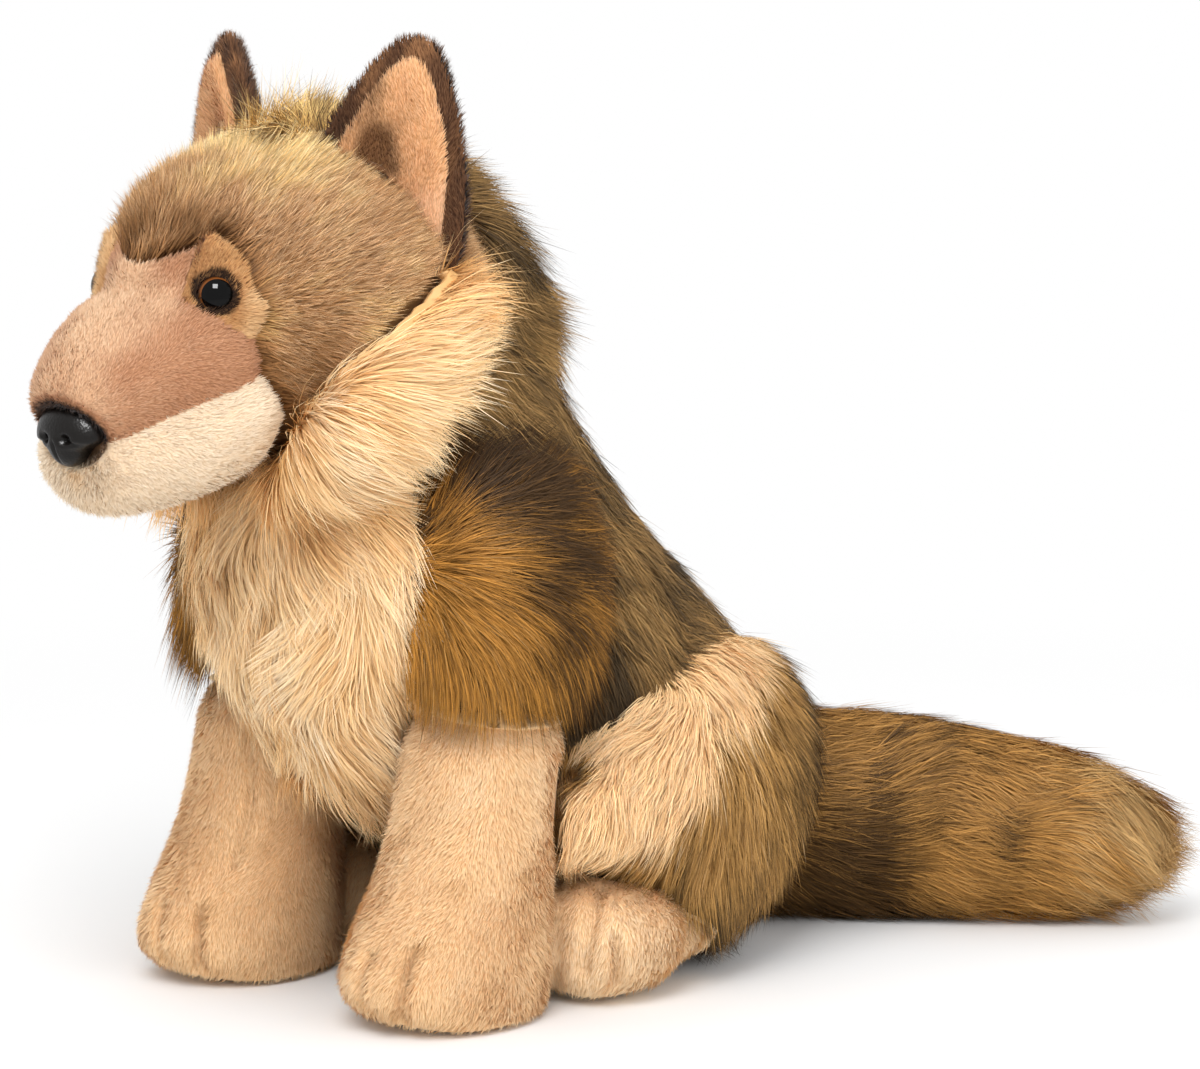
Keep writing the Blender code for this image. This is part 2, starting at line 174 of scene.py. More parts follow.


# The colours of each pile: root, body and tip colour, and the share of fibres that take the tip
# colour; the darker root is painted shade deep in the pile. Zones bring in the other colour where they
# rise to 1, and the third where they fall to -1.
longPile = {"tipStart": 0.45, "tipEnd": 0.95, "roughness": 0.7, "gloss": 0.12, "sheen": 0.0}
velour = {"tipStart": 0.2, "tipEnd": 1.0, "roughness": 0.85, "gloss": 0.1, "sheen": 0.1}
piles = {
    "coat": {
        "main": ("#80541f", "#bb8238", "#46321a", 0.4),
        # the other colour also gives the painted shade in the folds
        "other": ("#2e2010", "#4c361e", "#1a1008", 0.65),
        "third": ("#8a6c40", "#c09a64", "#dcbc8c", 0.5),
        "spread": 0.22, **longPile,
    },
    "saddle": {
        "main": ("#6c4c28", "#a5804e", "#3a2c1a", 0.4),
        # the other colour also gives the painted shade in the folds
        "other": ("#2c2216", "#4c3d2a", "#150f08", 0.6),
        "third": ("#dcae62", "#f0cc86", "#f8e0ae", 0.5),
        "spread": 0.24, **longPile,
    },
    "haunch": {
        "main": ("#926428", "#c39454", "#64492a", 0.4),
        # the other colour also gives the painted shade on the inner side and in the gap
        "other": ("#2e2214", "#55422a", "#1a130a", 0.65),
        "third": ("#e2b276", "#f8d09a", "#ffe4ba", 0.5),
        "spread": 0.2, **longPile,
    },
    "tailCoat": {
        "main": ("#9a6a30", "#bd8a48", "#6a4c28", 0.4),
        "other": ("#38260f", "#553c20", "#1c1409", 0.65),
        "third": ("#ac8450", "#c8a26a", "#a8885c", 0.4),
        "spread": 0.22, **longPile,
    },
    "cream": {
        "main": ("#e6b474", "#f8d19a", "#ffe6bc", 0.6),
        # the other colour also gives the painted shade under the chin
        "other": ("#d09a58", "#ecb97a", "#f6cc90", 0.5),
        "third": ("#eecb9a", "#fce2ba", "#fff2d6", 0.6),
        "spread": 0.12, **longPile,
    },
    "brown": {
        "main": ("#6a4422", "#a8794c", "#dcb488", 0.55),
        # the other colour also gives the painted shade under the brow
        "other": ("#4e3016", "#7c5430", "#8a6238", 0.5),
        "third": ("#b88c50", "#e6c07c", "#f8e0ac", 0.6),
        "spread": 0.36, **longPile,
    },
    "taupe": {
        "main": ("#a47250", "#ba8662", "#c89676", 0.5),
        "other": ("#d4aa84", "#e6c09a", "#f0d0ae", 0.5),
        "third": ("#24150c", "#3e2616", "#543822", 0.5),
        "spread": 0.07, **velour,
    },
    "white": {
        "main": ("#e0c6a2", "#ecd6ba", "#f4e4cc", 0.5),
        "other": ("#d8ae7c", "#e6c498", "#eed2ac", 0.5),
        "third": ("#5c3e2a", "#94704e", "#b08862", 0.5),
        "spread": 0.04, **velour,
    },
    "tan": {
        "main": ("#e8b680", "#f4cd9b", "#fad8ac", 0.5),
        # the other colour also gives painted shade in the creases, and the third painted light on the hind
        # paws
        "other": ("#9c6634", "#c88e54", "#dcaa70", 0.5),
        "third": ("#f0c894", "#fadaae", "#ffe6c4", 0.5),
        "spread": 0.08, **velour,
    },
    "patch": {
        "main": ("#aa764a", "#c08c58", "#cc9e6c", 0.5),
        # the near-black other colour is the painted shade round the eye
        "other": ("#140b06", "#2a180a", "#3c2614", 0.5),
        "third": ("#c89a6a", "#dab07e", "#e4be90", 0.5),
        "spread": 0.07, **velour,
    },
    "peach": {
        "main": ("#ca925e", "#e2ac7a", "#eec094", 0.5),
        # the other colour also gives the painted shade in the hollow beside the crown
        "other": ("#4a2e1a", "#7a5232", "#96693f", 0.5),
        "third": ("#dca87c", "#ecbc92", "#f2c8a2", 0.5),
        "spread": 0.1, **velour,
    },
    "umber": {
        "main": ("#3e2616", "#5e3e28", "#7a5438", 0.5),
        "other": ("#26160c", "#422a1a", "#543824", 0.5),
        "third": ("#5c3c24", "#8a5e3c", "#a47650", 0.5),
        "spread": 0.18, **velour,
    },
}
pileMaterials = {name: pileMaterial(name + "PolyesterPile", spec) for name, spec in piles.items()}


# Fields over the surface


def ripple(points, size, seed, stretch=(1, 1, 1)):
    # a smooth wandering value from about -1 to 1, whose waves are about the given size in millimetres
    rng = np.random.default_rng(seed)
    total = np.zeros(len(points))
    for _ in range(6):
        way = rng.normal(size=3)
        way *= math.tau / size / np.linalg.norm(way) * rng.uniform(0.6, 1.5)
        total += np.sin((points * np.array(stretch)) @ way + rng.uniform(0, math.tau))
    return total / 2.6


def soften(value, low, high):
    share = np.clip((value - low) / (high - low), 0, 1)
    return share * share * (3 - 2 * share)


def handed(points):
    # the same places folded onto the wolf's left side
    folded = points.copy()
    folded[:, 0] = np.abs(folded[:, 0])
    return folded


def blot(points, x, y, z, size, flat=(1, 1, 1)):
    # 1 at a place on the wolf's left side and its mirror, fading out with distance
    gap = (handed(points) - (x, y, z)) / size * np.array(flat)
    return np.exp(-(gap**2).sum(axis=1))


def distanceTo(points, line):
    # the distance from a line through several places
    best = np.full(len(points), 1e9)
    for a, b in zip(line, line[1:]):
        a, b = np.array(a, float), np.array(b, float)
        share = np.clip((points - a) @ (b - a) / max((b - a) @ (b - a), 1e-9), 0, 1)
        best = np.minimum(best, np.linalg.norm(points - a - share[:, None] * (b - a), axis=1))
    return best


def coatZone(p):
    # ochre in front of the shoulder, olive along the back, and nearly black in the folds as painted shade
    zone = 0.4 + 0.26 * ripple(p, 42, 11, (1, 1, 0.6)) + 0.22 * ripple(p, 13, 12)
    zone -= 0.5 * blot(p, 54, -14, 118, 26) + 0.2 * blot(p, 48, 18, 188, 18)
    zone += 0.3 * blot(p, 60, -8, 97, 22, (1, 1, 3)) + 1.0 * blot(p, 50, 4, 163, 17, (0.8, 0.6, 1.5))
    # the last blot is painted shade in the gap between the shoulder and the thigh
    zone += 0.65 * blot(p, 70, 14, 136, 22) + 0.5 * blot(p, 62, 55, 104, 16) + 1.6 * blot(p, 59, 40, 86, 16)
    zone += 0.3 * blot(p, 30, 30, 236, 26) + 0.6 * soften(-p[:, 0], 30, 44)
    crown = 1.4 * blot(p, 0, -27, 259, 23, (0.8, 1, 1)) * soften(ripple(p, 8, 14), -1.4, 0.4)
    return np.clip(np.maximum(zone, 0) * (1 - np.minimum(crown, 1)) - crown, -1, 1.2)


def thighZone(p):
    # a cream blaze down the front of the thigh, ochre behind it, dark towards the tail and the ground
    edge = np.where(p[:, 1] < 81, 46 + (p[:, 1] - 50) * 0.98, 76.4 + (p[:, 1] - 81) * 0.52)
    over = p[:, 2] - edge - 3 + 3 * ripple(p, 20, 15)
    cream = soften(over, -4, 6) * soften(p[:, 2], 34, 40)
    back = 0.12 + 0.25 * ripple(p, 24, 16, (1, 1, 0.5)) + 0.2 * ripple(p, 9, 17)
    back += 0.9 * soften(p[:, 1], 108, 134) + 0.6 * blot(p, 84, 58, 34, 12)
    back += 0.9 * soften(-p[:, 2], -40, -14) * soften(p[:, 1], 55, 72)
    # inner: painted shade on the thigh's inner side, against the body, and in the gap beside the shoulder
    inner = soften(-handed(p)[:, 0], -58, -44) + soften(blot(p, 64, 31, 80, 14), 0.35, 0.6)
    inner = np.clip(inner, 0, 1)
    return np.clip(np.maximum(back, 0) * (1 - cream) - cream, -1, 1.2) * (1 - inner) + inner * 1.1


def tailZone(p):
    # broken dark bars, darkest low down at the root, greyer towards the end
    along = p[:, 0] * 0.75 + p[:, 1] * 0.66
    bars = soften(np.sin(along * math.tau / 19 + 1.3 * ripple(p, 26, 21)), 0.1, 0.9)
    zone = 0.1 + 0.8 * bars * soften(ripple(p, 16, 22), -0.4, 0.6) + 0.2 * ripple(p, 34, 23)
    zone += 1.1 * np.exp(-(((p[:, 0] - 44) / 24) ** 2 + ((p[:, 2] - 10) / 34) ** 2))
    return np.clip(zone - 1.1 * soften(along, 200, 240), -1, 1.1)


def creamZone(p):
    folds = 0.35 * ripple(p, 20, 31, (1, 1, 0.45)) + 0.2 * ripple(p, 8, 32, (1, 1, 0.4))
    low = 0.3 * soften(-p[:, 2], -90, -60) + soften(p[:, 2], 196, 218)
    # under: painted shade under the chin
    under = 0.5 * blot(p, 12, -46, 158, 18) + 0.4 * blot(p, 30, -50, 164, 14)
    return np.clip(folds + low + under - 0.1, -0.8, 1)


def headZone(p):
    patches = 0.25 * ripple(p, 26, 41) + 0.2 * ripple(p, 8, 42)
    # brow: painted shade where the fur of the brow overhangs the eye patch and the muzzle
    brow = 0.75 * blot(p, 8, -76, 231, 9, (0.6, 1, 1)) + 0.3 * blot(p, 34, -58, 224, 8)
    rim = 0.6 * blot(p, 36, -56, 200, 11) + 0.3 * blot(p, 42, -50, 188, 12)
    light = 1.2 * blot(p, 0, -34, 256, 17) + 0.35 * blot(p, 6, -48, 250, 22)
    light += 0.35 * blot(p, 50, -36, 212, 16) + 0.35 * blot(p, 28, -36, 246, 16)
    return np.clip(patches + brow + rim - light, -1, 1)


def haloed(p, zone):
    # the airbrushed shade close round the nose, and a dark spot in the inner corner of the eye
    gap = (p - noseSpot) / noseBed
    halo = soften(-np.linalg.norm(gap - (0, 0, 0.14), axis=1), -1.36, -1.04)
    corner = 0.9 * blot(p, eyeSpot[0] - 5, eyeSpot[1] - 4, eyeSpot[2] - 3, 3.4)
    shade = np.clip(halo + corner, 0, 1)
    return zone * (1 - shade) - shade


def muzzleZone(p):
    bridge = 0.95 * soften(-handed(p)[:, 0], -33, 4) * soften(p[:, 2] + p[:, 1] * 0.75, 96, 136)
    front = 0.6 * soften(-p[:, 1], 86, 108) * soften(-handed(p)[:, 0], -30, -6)
    # brow: painted shade under the overhanging fur of the brow
    brow = 0.5 * blot(p, 12, -77, 225, 6, (0.7, 1, 1))
    return haloed(p, np.clip(np.maximum(bridge, front) - brow + 0.1 * ripple(p, 16, 51), 0, 1))


def chinZone(p):
    mouth = 0.9 * np.exp(-((p[:, 0] / 4) ** 2)) * soften(p[:, 2], 160, 170) * soften(-p[:, 1], 90, 100)
    return haloed(p, np.clip(0.15 * ripple(p, 18, 61) + 0.4 * soften(-p[:, 2], -160, -152) + mouth, 0, 1))


def patchZone(p):
    near = np.linalg.norm(handed(p) - eyeSpot, axis=1)
    # rim: a dark ring round the eye, painted shade where the eye sits down in its socket
    rim = soften(-near, -7.9, -6.6)
    light = 0.9 * soften(handed(p)[:, 0], 28, 33) + 0.4 * soften(-p[:, 2], -213, -207)
    light += 0.8 * soften(-p[:, 0], 10, 20)
    return np.clip(0.15 * ripple(p, 8, 62) - light, -1, 1) * (1 - rim) + rim


def hollow(p):
    # where the ear folds in beside the crown
    fold = blot(p, 34, -19, 249, 6.5) + 0.8 * blot(p, 35, -17, 258, 6)
    return fold * np.where(p[:, 0] < 0, 0.5, 1)


def liningZone(p):
    inner = 0.4 * soften(-p[:, 0], -44, -30) * soften(p[:, 0], 0, 10)
    # the hollow beside the crown is darker, as painted shade
    return np.clip(hollow(p) + inner + 0.2 * ripple(p, 10, 65) - 0.9 * soften(-p[:, 2], -252, -238), -1, 1)


def umberZone(p):
    return np.clip(0.4 * ripple(p, 12, 66) - 0.7 * soften(p[:, 2], 276, 288), -0.8, 0.8)


# Creases sewn or squeezed into the stuffed form: the line, how deep and how wide
creases = [
    ([(57.5, -26, 27), (58.5, -31, 18), (54.5, -30, 6)], 3.6, 1.9),
    ([(46, -34, 26), (44.5, -38, 18), (44, -37, 6)], 4.0, 1.9),
    ([(32, -30, 27), (31.5, -31, 18), (32, -31, 6)], 3.6, 1.9),
    ([(34, -8, 80), (33, -9, 70), (30, -11, 57), (29, -18, 39)], 1.8, 1.8),
    ([(79, 36, 24), (77, 40, 6)], 3.6, 1.9),
    ([(70, 30, 14), (72, 32, 27), (67, 42, 37)], 2.0, 3.0),
    ([(56, 27, 26), (56, 30, 8)], 2.4, 1.7),
]
snapped = []


def snapCreases(pelts):
    # each crease is laid on the surface before it is pressed in
    for line, deep, wide in creases:
        places = []
        for start, end in zip(line, line[1:]):
            for step in range(8):
                place = at(*(Vector(start).lerp(Vector(end), step / 7)))
                found = [pelt.surface.find_nearest(place) for pelt in pelts]
                places.append(min(found, key=lambda hit: hit[3])[0])
        snapped.append((local(np.array(places)), deep, wide))


def creaseDepth(p):
    folded = handed(p)
    depth = np.zeros(len(p))
    for line, deep, wide in snapped:
        near = np.linalg.norm(folded - line.mean(axis=0), axis=1) < 40
        fold = deep * np.exp(-((distanceTo(folded[near], line) / wide) ** 2))
        depth[near] = np.maximum(depth[near], fold)
    return depth


def legZone(p):
    shade = 0.2 * ripple(p, 22, 63) + 0.12 * ripple(p, 7, 64)
    # lighter higher up, and on the hind paws, which are paler in tone and also painted lighter against the
    # shadow that falls on them
    light = 0.25 * soften(p[:, 2], 45, 80) + 0.9 * soften(p[:, 1], 24, 32)
    # darker along the creases: partly the dark stitching of the toes, partly painted shade in the folds
    return np.clip(shade + 0.45 * creaseDepth(p) - light, -0.9, 1)


def tucked(p):
    # how far the tops of the legs and the heels go in under the long coat, in millimetres
    return 6.5 * soften(p[:, 2], 78, 100) + 3.5 * soften(p[:, 1], 58, 74)


def parted(p):
    # how far the torso falls back in the dark gap between the shoulder and the thigh
    return 4 * blot(p, 65, 31, 80, 11)


zones = {
    "coat": coatZone, "tailCoat": tailZone, "cream": creamZone, "brown": headZone, "taupe": muzzleZone,
    "white": chinZone, "patch": patchZone, "tan": legZone, "peach": liningZone, "umber": umberZone,
    "haunch": thighZone, "saddle": coatZone,
}


# Panels: what pile each solid carries. Length, width and inset are in millimetres, the lift off the
# skin in degrees, and under and guard are the fibres of each layer on a square millimetre. A stroke
# is a place and the way that the pile is combed there, on the wolf's left side, and a source is a
# place that it is combed away from. A trim is a place, its reach and how much longer the pile is
# there, a hem is where it hangs free, and coarse is the share of the skin's faces that are kept.

noseTip = (0, -112, 176)
longCoat = {
    "length": 19, "lift": 17, "inset": 4.0, "guard": 0.95, "under": 2.2, "clump": 0.4, "coarse": 0.2,
}
foot = {
    "pile": "tan", "length": 3.2, "lift": 32, "inset": 1.1, "under": 5.0, "width": 0.38, "clump": 0.1,
}
panels = {
    "torso": {
        **longCoat, "pile": "saddle", "guard": 0.85, "under": 1.9,
        "strokes": [
            ((0, 50, 190), (0, 0.5, -0.85)), ((0, 110, 120), (0, 0.7, -0.7)),
            ((0, 170, 60), (0, 0.3, -0.95)), ((60, 30, 150), (0.1, 0.6, -0.75)),
            ((55, 70, 125), (0.1, 0.7, -0.7)), ((65, 60, 90), (0.1, 0.3, -0.9)),
            ((58, 34, 90), (0.1, 0.1, -1)), ((0, 20, 60), (0, 0.2, -1)),
            ((48, 20, 200), (0.2, 0.6, -0.7)),
        ],
    },
    "nape": {
        **longCoat, "pile": "saddle", "length": 20, "lift": 28, "trim": [((0, -26, 260), 13, 1.3)],
        "strokes": [
            ((0, -30, 258), (0, -1, 0)), ((0, -10, 264), (0, 1, 0.3)), ((0, 20, 266), (0, 1, 0.1)),
            ((0, 50, 250), (0, 0.7, -0.7)), ((0, 60, 200), (0, 0.3, -1)), ((45, 30, 215), (0.2, 0.7, -0.7)),
        ],
    },
    "shoulder": {
        **longCoat, "pile": "coat", "source": (42, -34, 142), "trim": [((52, -8, 102), 24, 1.3)],
        "hems": [((58, -6, 98), 24), ((66, 24, 102), 16)],
    },
    "thigh": {
        **longCoat, "pile": "haunch", "clump": 0.5,
        "trim": [((78, 38, 46), 15, 0.6), ((82, 76, 30), 13, 1.3), ((65, 32, 80), 15, 0.25)],
        "hems": [((82, 74, 30), 15)],
        "strokes": [
            ((62, 90, 104), (0.3, -0.1, -0.95)), ((82, 60, 75), (0.1, -0.6, -0.75)),
            ((78, 30, 56), (0, -0.5, -0.85)), ((70, 42, 88), (0.2, -0.6, -0.75)),
            ((85, 105, 60), (0.15, 0.25, -0.95)), ((72, 120, 20), (0.2, 0.2, -0.95)),
            ((60, 125, 92), (0.3, 0.6, -0.6)),
        ],
    },
    "tail": {
        **longCoat, "pile": "tailCoat", "length": 22, "lift": 14, "clump": 0.55, "mirrored": False,
        "trim": [((126, 250, 30), 26, 1.08)],
        "strokes": [
            ((20, 180, 35), (0.6, 0.8, 0.1)), ((70, 220, 35), (0.85, 0.5, 0)),
            ((120, 250, 30), (1, 0.25, -0.05)),
        ],
    },
    "cheek_ruff": {
        **longCoat, "pile": "cream", "length": 23, "inset": 4.5, "clump": 0.5, "segments": 3,
        "guard": 0.8,
        "strokes": [
            ((58, -26, 226), (0.5, 0.75, 0.4)), ((60, -20, 200), (0.5, 0.8, 0)),
            ((46, -44, 200), (0.65, 0.7, 0.1)), ((40, -52, 180), (0.7, 0.55, -0.2)),
            ((30, -58, 165), (0.65, 0.35, -0.5)), ((55, -20, 170), (0.5, 0.7, -0.4)),
            ((18, -58, 158), (0.4, 0.1, -0.9)), ((22, -60, 172), (0, -0.6, -0.6)),
        ],
    },
    "chest_bib": {
        **longCoat, "pile": "cream", "length": 21, "lift": 15, "inset": 4.5, "clump": 0.55, "segments": 3,
        "guard": 0.75, "wave": 1.0, "trim": [((24, -8, 74), 16, 1.5)],
        "strokes": [
            ((0, -30, 170), (0, -0.1, -1)), ((35, -30, 150), (0.15, 0.1, -1)),
            ((0, -40, 110), (0, 0.05, -1)), ((35, -20, 100), (-0.3, 0.1, -1)), ((0, 0, 60), (0, 0.2, -1)),
        ],
    },
    "head": {
        "pile": "brown", "length": 10.5, "lift": 35, "inset": 2.4, "under": 6.2, "width": 0.4, "clump": 0.3,
        "source": noseTip, "stray": 0.28,
        "trim": [((33, -60, 214), 9, 0.6), ((0, -80, 226), 8, 0.75), ((0, -30, 258), 14, 1.7)],
    },
    "muzzle": {
        "pile": "taupe", "length": 1.9, "lift": 38, "inset": 0.3, "under": 5.2, "width": 0.36,
        "source": noseTip,
    },
    "chin": {
        "pile": "white", "length": 2.3, "lift": 38, "inset": 0.5, "under": 4.6, "width": 0.38,
        "source": noseTip,
    },
    "eye_patch": {
        "pile": "patch", "length": 2.4, "lift": 45, "inset": 1.5, "under": 6.0, "width": 0.36,
        "source": noseTip,
    },
    "front_leg": {
        **foot,
        "strokes": [
            ((45, 10, 90), (0, 0, -1)), ((45, -20, 35), (0, -0.6, -0.8)), ((45, -45, 15), (0, -0.4, -0.9)),
        ],
    },
    "hind_paw": {
        **foot,
        "strokes": [
            ((58, 60, 40), (0, -1, -0.3)), ((58, 25, 20), (0, -0.5, -0.9)),
            ((84, 50, 20), (0.2, -0.5, -0.9)),
        ],
    },
    "ear_back": {
        "pile": "umber", "length": 3.6, "lift": 40, "inset": 1.4, "under": 3.8, "width": 0.42, "clump": 0.1,
        "strokes": [((30, -10, 250), (0.15, 0, 1))],
    },
    "ear_lining": {
        "pile": "peach", "length": 2.6, "lift": 35, "inset": 1.0, "under": 4.6, "width": 0.4, "clump": 0.1,
        "strokes": [((30, -10, 250), (0.15, 0, 1))],
    },
}


def panelOf(node):
    return panels[node.replace("_left", "").replace("_right", "")]


def zoneOf(panel, points):
    return zones[panel["pile"]](local(points))


# Places where no fibre is rooted: under the moulded nose and eyes
clearings = [(np.array(at(*noseSpot)), np.array((11.8, 8.0, 9.0)) * mm)]
for hand in (1, -1):
    clearings.append((np.array(at(hand * eyeSpot[0], *eyeSpot[1:])), np.full(3, 6.1 * mm)))


# The stuffed form: solids that are sewn together become one smooth skin. In millimetres, how far
# they swell before they are joined, how close a covered face lies to what covers it, how deep a
# seam and the nose's bed are, how high the lowest skin is, and how thick the backing is.

skin = {"swell": 0.45, "covered": 0.6, "seam": 0.5, "bed": 5, "lowest": 0.5, "backing": 1.2, "kept": 0.3}


def unit(vectors):
    return vectors / np.maximum(np.linalg.norm(vectors, axis=1), 1e-9)[:, None]


earNodes = [f"ear_{part}_{side}" for part in ("back", "lining") for side in ("left", "right")]
hardNodes = ["nose", "eye_left", "eye_right"]
stuffed = [name for name in sorted(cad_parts) if name not in earNodes + hardNodes]


def pick(*kinds):
    return [node for node in stuffed if node.replace("_left", "").replace("_right", "") in kinds]


solids = {}
for node in sorted(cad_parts):
    bm = bmesh.new()
    bm.from_mesh(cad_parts[node].data)
    bmesh.ops.remove_doubles(bm, verts=bm.verts, dist=0.01 * mm)
    bm.normal_update()
    box = [np.array(corner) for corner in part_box(node)]
    solids[node] = {"bm": bm, "tree": BVHTree.FromBMesh(bm), "box": box}


def closest(point, nodes, reach):
    # the solid closest to a point, and how far it is, among those within reach
    best, found = reach, None
    spot = np.array(point)
    for node in nodes:
        low, high = solids[node]["box"]
        if (spot < low - best).any() or (spot > high + best).any():
            continue
        distance = solids[node]["tree"].find_nearest(point, best)[3]
        if distance is not None and distance < best:
            best, found = distance, node
    return found, best


def browned(node, point):
    # the velour of the muzzle runs up between the eyes, as far as the brow
    x, y, z = local(np.array(point))
    x = abs(x)
    if node.startswith("eye_patch") and z > 216 and z > 232 - (x - 27.4) * 2.5:
        return "head"
    return "muzzle" if node == "head" and y < -60 and x < 19 and z < 226.5 + 0.02 * x * x else node


def joined(nodes, voxel, smoothing):
    # one smooth surface round several solids
    soup = bmesh.new()
    for node in nodes:
        bm = solids[node]["bm"].copy()
        for vert in bm.verts:
            vert.co += vert.normal * (skin["swell"] * mm)
        part = meshFrom(bm, "part")
        soup.from_mesh(part)
        bpy.data.meshes.remove(part)
    obj = newObject("pelt", meshFrom(soup, "pelt"))
    remesh = obj.modifiers.new("skin", "REMESH")
    remesh.mode = "VOXEL"
    remesh.voxel_size = voxel
    graph = bpy.context.evaluated_depsgraph_get()
    bm = bmesh.new()
    bm.from_mesh(bpy.data.meshes.new_from_object(obj.evaluated_get(graph)))
    bpy.data.objects.remove(obj)
    axes = {"use_axis_x": True, "use_axis_y": True, "use_axis_z": True}
    for _ in range(smoothing):
        bmesh.ops.smooth_vert(bm, verts=bm.verts, factor=0.5, **axes)
    bm.normal_update()
    bm.verts.ensure_lookup_table()
    bm.faces.ensure_lookup_table()
    return bm


class Pelt:
    # the skin over several solids, sorted by the solid that each part of it belongs to

    def __init__(self, nodes, voxel, smoothing):
        self.nodes = nodes
        bm = joined(nodes, voxel, smoothing)
        self.bm = bm
        self.surface = BVHTree.FromBMesh(bm)
        self.edges = np.array([[vert.index for vert in edge.verts] for edge in bm.edges])
        self.faces = [[vert.index for vert in face.verts] for face in bm.faces]
        self.outer = np.array([vert.co for vert in bm.verts])
        middles = [face.calc_center_median() for face in bm.faces]
        self.owner = [self.nearest(middle) for middle in middles]
        others = [node for node in stuffed + earNodes if node not in nodes]
        self.buried = [closest(middle, others, skin["covered"] * mm)[0] is not None for middle in middles]
        self.rim = np.zeros(len(self.outer), bool)
        for edge in bm.edges:
            if len({self.owner[face.index] for face in edge.link_faces}) > 1:
                self.rim[[vert.index for vert in edge.verts]] = True
        self.mixed = [any(self.rim[corner] for corner in corners) for corners in self.faces]

    def nearest(self, point):
        return browned(closest(point, self.nodes, 1.0)[0], point)

    def spread(self, values, rounds):
        # each value drawn towards those next to it on the skin
        for _ in range(rounds):
            total, count = values.copy(), np.ones(len(values))
            for a, b in ((0, 1), (1, 0)):
                np.add.at(total, self.edges[:, a], values[self.edges[:, b]])
                np.add.at(count, self.edges[:, a], 1)
            values = total / count
        return values

    def setIn(self, deeper=None):
        # the skin goes below the pile's outer surface, so that pile and skin together fill the solid
        inset, share = np.zeros(len(self.outer)), np.zeros(len(self.outer))
        for corners, node in zip(self.faces, self.owner):
            inset[corners] += panelOf(node)["inset"]
            share[corners] += 1
        inset = self.spread(inset / np.maximum(share, 1), 4)
        inset += self.spread(self.rim.astype(float), 2) * skin["seam"]
        spots = local(self.outer)
        inset += creaseDepth(spots) + 1.5 * hollow(spots)
        if deeper:
            inset += deeper(spots)
        fromNose = np.linalg.norm((spots - noseSpot) / noseBed, axis=1)
        inset += skin["bed"] * soften(-fromNose, -1.15, -0.8)
        for vert, depth in zip(self.bm.verts, inset):
            vert.co -= vert.normal * float(depth * mm)
            vert.co.z = max(vert.co.z, skin["lowest"] * mm)
        self.bm.normal_update()
        self.points = np.array([vert.co for vert in self.bm.verts])
        self.normals = np.array([vert.normal for vert in self.bm.verts])


# Skins: the knitted backing under the pile, one piece for each solid


def strandAttribute(mesh, values):
    layer = mesh.attributes.new("strand", "FLOAT_VECTOR", "POINT")
    layer.data.foreach_set("vector", np.asarray(values, np.float32).ravel())


def makeSkin(pelt, node):
    panel = panelOf(node)
    bm = pelt.bm.copy()
    spare = [face for face in bm.faces if pelt.owner[face.index] != node]
    if node.startswith("hind_paw"):
        # the heel's skin ends where the thigh covers it
        rest = [face for face in bm.faces if pelt.owner[face.index] == node and pelt.buried[face.index]]
        spare += [face for face in rest if face.calc_center_median().y > at(0, 60, 0).y]
    bmesh.ops.delete(bm, geom=spare, context="FACES")
    mesh = meshFrom(bm, node + "_skin")
    mesh.shade_smooth()
    points = np.empty(len(mesh.vertices) * 3)
    mesh.vertices.foreach_get("co", points)
    # the backing has the colour of a fibre a third of the way up, painted shade of the deep pile included
    along = np.full(len(mesh.vertices), 0.35)
    strandAttribute(mesh, np.stack([along, along + 0.2, zoneOf(panel, points.reshape(-1, 3))], axis=1))
    obj = newObject(node + "_skin", mesh)
    fewer = obj.modifiers.new("fewer", "DECIMATE")
    fewer.ratio = panel.get("coarse", skin["kept"])
    backing = obj.modifiers.new("backing", "SOLIDIFY")
    backing.thickness = skin["backing"] * mm
    backing.offset = -1
    dress(obj, pileMaterials[panel["pile"]])
    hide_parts(node)
    return obj


# Pile: tapered fibres that rise from the skin and lie along the combed way


def bladeTemplate(segments):
    # one flat fibre, from 0 to 1 along and closed to a point at its tip
    bm = bmesh.new()
    bmesh.ops.create_grid(bm, x_segments=1, y_segments=segments, size=0.5)
    tip = [vert for vert in bm.verts if vert.co.y > 0.49]
    bmesh.ops.pointmerge(bm, verts=tip, merge_co=(0, 0.5, 0))
    bm.verts.index_update()
    across = np.array([vert.co.x for vert in bm.verts])
    along = np.array([vert.co.y + 0.5 for vert in bm.verts])
    faces = [[vert.index for vert in face.verts] for face in bm.faces]
    bm.free()
    return across, along, faces


templates = {count: bladeTemplate(count) for count in (1, 2, 3)}


def combed(panel, points, normal):
    # the way that the pile lies at each point, along the skin
    if "source" in panel:
        x, y, z = panel["source"]
        spot = np.array(at(0, y, z)) + np.where(points[:, :1] < home.x, -x, x) * mm * np.array((1, 0, 0))
        way = points - spot
    else:
        way = np.zeros_like(points)
        for hand in (1, -1) if panel.get("mirrored", True) else (1,):
            for (x, y, z), (dx, dy, dz) in panel["strokes"]:
                gap = points - np.array(at(x * hand, y, z))
                weight = 1 / ((gap**2).sum(axis=1) + 1e-4) ** 2
                way += weight[:, None] * np.array((dx * hand, dy, dz))
    return unit(way - normal * (way * normal).sum(axis=1)[:, None])


def inside(spot, corners):
    # whether a spot is in a box or close by it
    return (spot > corners[0] - 5 * mm).all() and (spot < corners[1] + 5 * mm).all()


